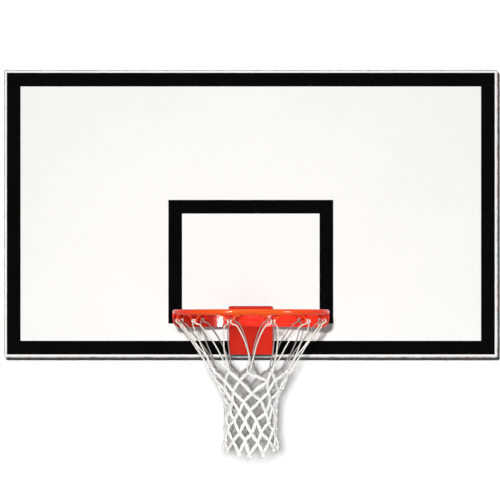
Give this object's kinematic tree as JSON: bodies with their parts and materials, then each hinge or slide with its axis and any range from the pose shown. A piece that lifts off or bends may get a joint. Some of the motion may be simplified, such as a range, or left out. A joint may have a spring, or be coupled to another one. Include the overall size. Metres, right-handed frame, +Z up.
{
  "type": "basketball backboard",
  "caption": "Flanged white steel basketball backboard with black border and target lines, a stiffened rear, a spring-return orange rim on a hinge, and a knotted cord net.",
  "frame": {"origin": "middle of the four mounting holes, on the plane of the rear mounting flanges", "axes": "+X to the right seen from the front, +Y out of the rear, away from the court, +Z up"},
  "size_m": [1.8288, 0.6636, 1.3319],
  "materials": {
    "board_white": "gloss powder coat",
    "line_black": "satin film",
    "frame_paint": "gloss powder coat",
    "zinc_plate": "zinc plated",
    "bright_steel": "ground",
    "spring_steel": "oiled",
    "pad_rubber": "matt",
    "rim_orange": "gloss powder coat",
    "bush_plastic": "moulded",
    "net_cord": "braided cord"
  },
  "bodies": {
    "backboard": {"board_panel": "board_white", "border_line": "line_black", "target_line": "line_black", "left_upright": "frame_paint", "right_upright": "frame_paint", "upper_cross_rail": "frame_paint", "lower_cross_rail": "frame_paint", "left_rim_post": "frame_paint", "right_rim_post": "frame_paint", "rim_backing_plate": "zinc_plate", "base_bracket": "zinc_plate", "rim_bolts": "zinc_plate", "rim_washers": "zinc_plate", "rim_nuts": "zinc_plate", "hinge_pin": "bright_steel", "pin_clips": "bright_steel", "spring_posts": "zinc_plate", "return_springs": "spring_steel", "stop_pads": "pad_rubber"},
    "rim": {"ring": "rim_orange", "wrap_brace": "rim_orange", "neck_channel": "rim_orange", "carrier": "rim_orange", "hinge_bushes": "bush_plastic", "spring_cups": "zinc_plate", "net_hooks": "rim_orange", "net": "net_cord"}
  },
  "joints": [
    {"name": "rim_tilt", "type": "hinge", "parent": "backboard", "child": "rim", "pos_m": [0, -0.0704, -0.35854], "axis": [1, 0, 0], "range_deg": [0, 20], "stiffness_Nm_per_rad": 700, "springref_deg": -28.65, "deforming": ["return_springs"]}
  ]
}
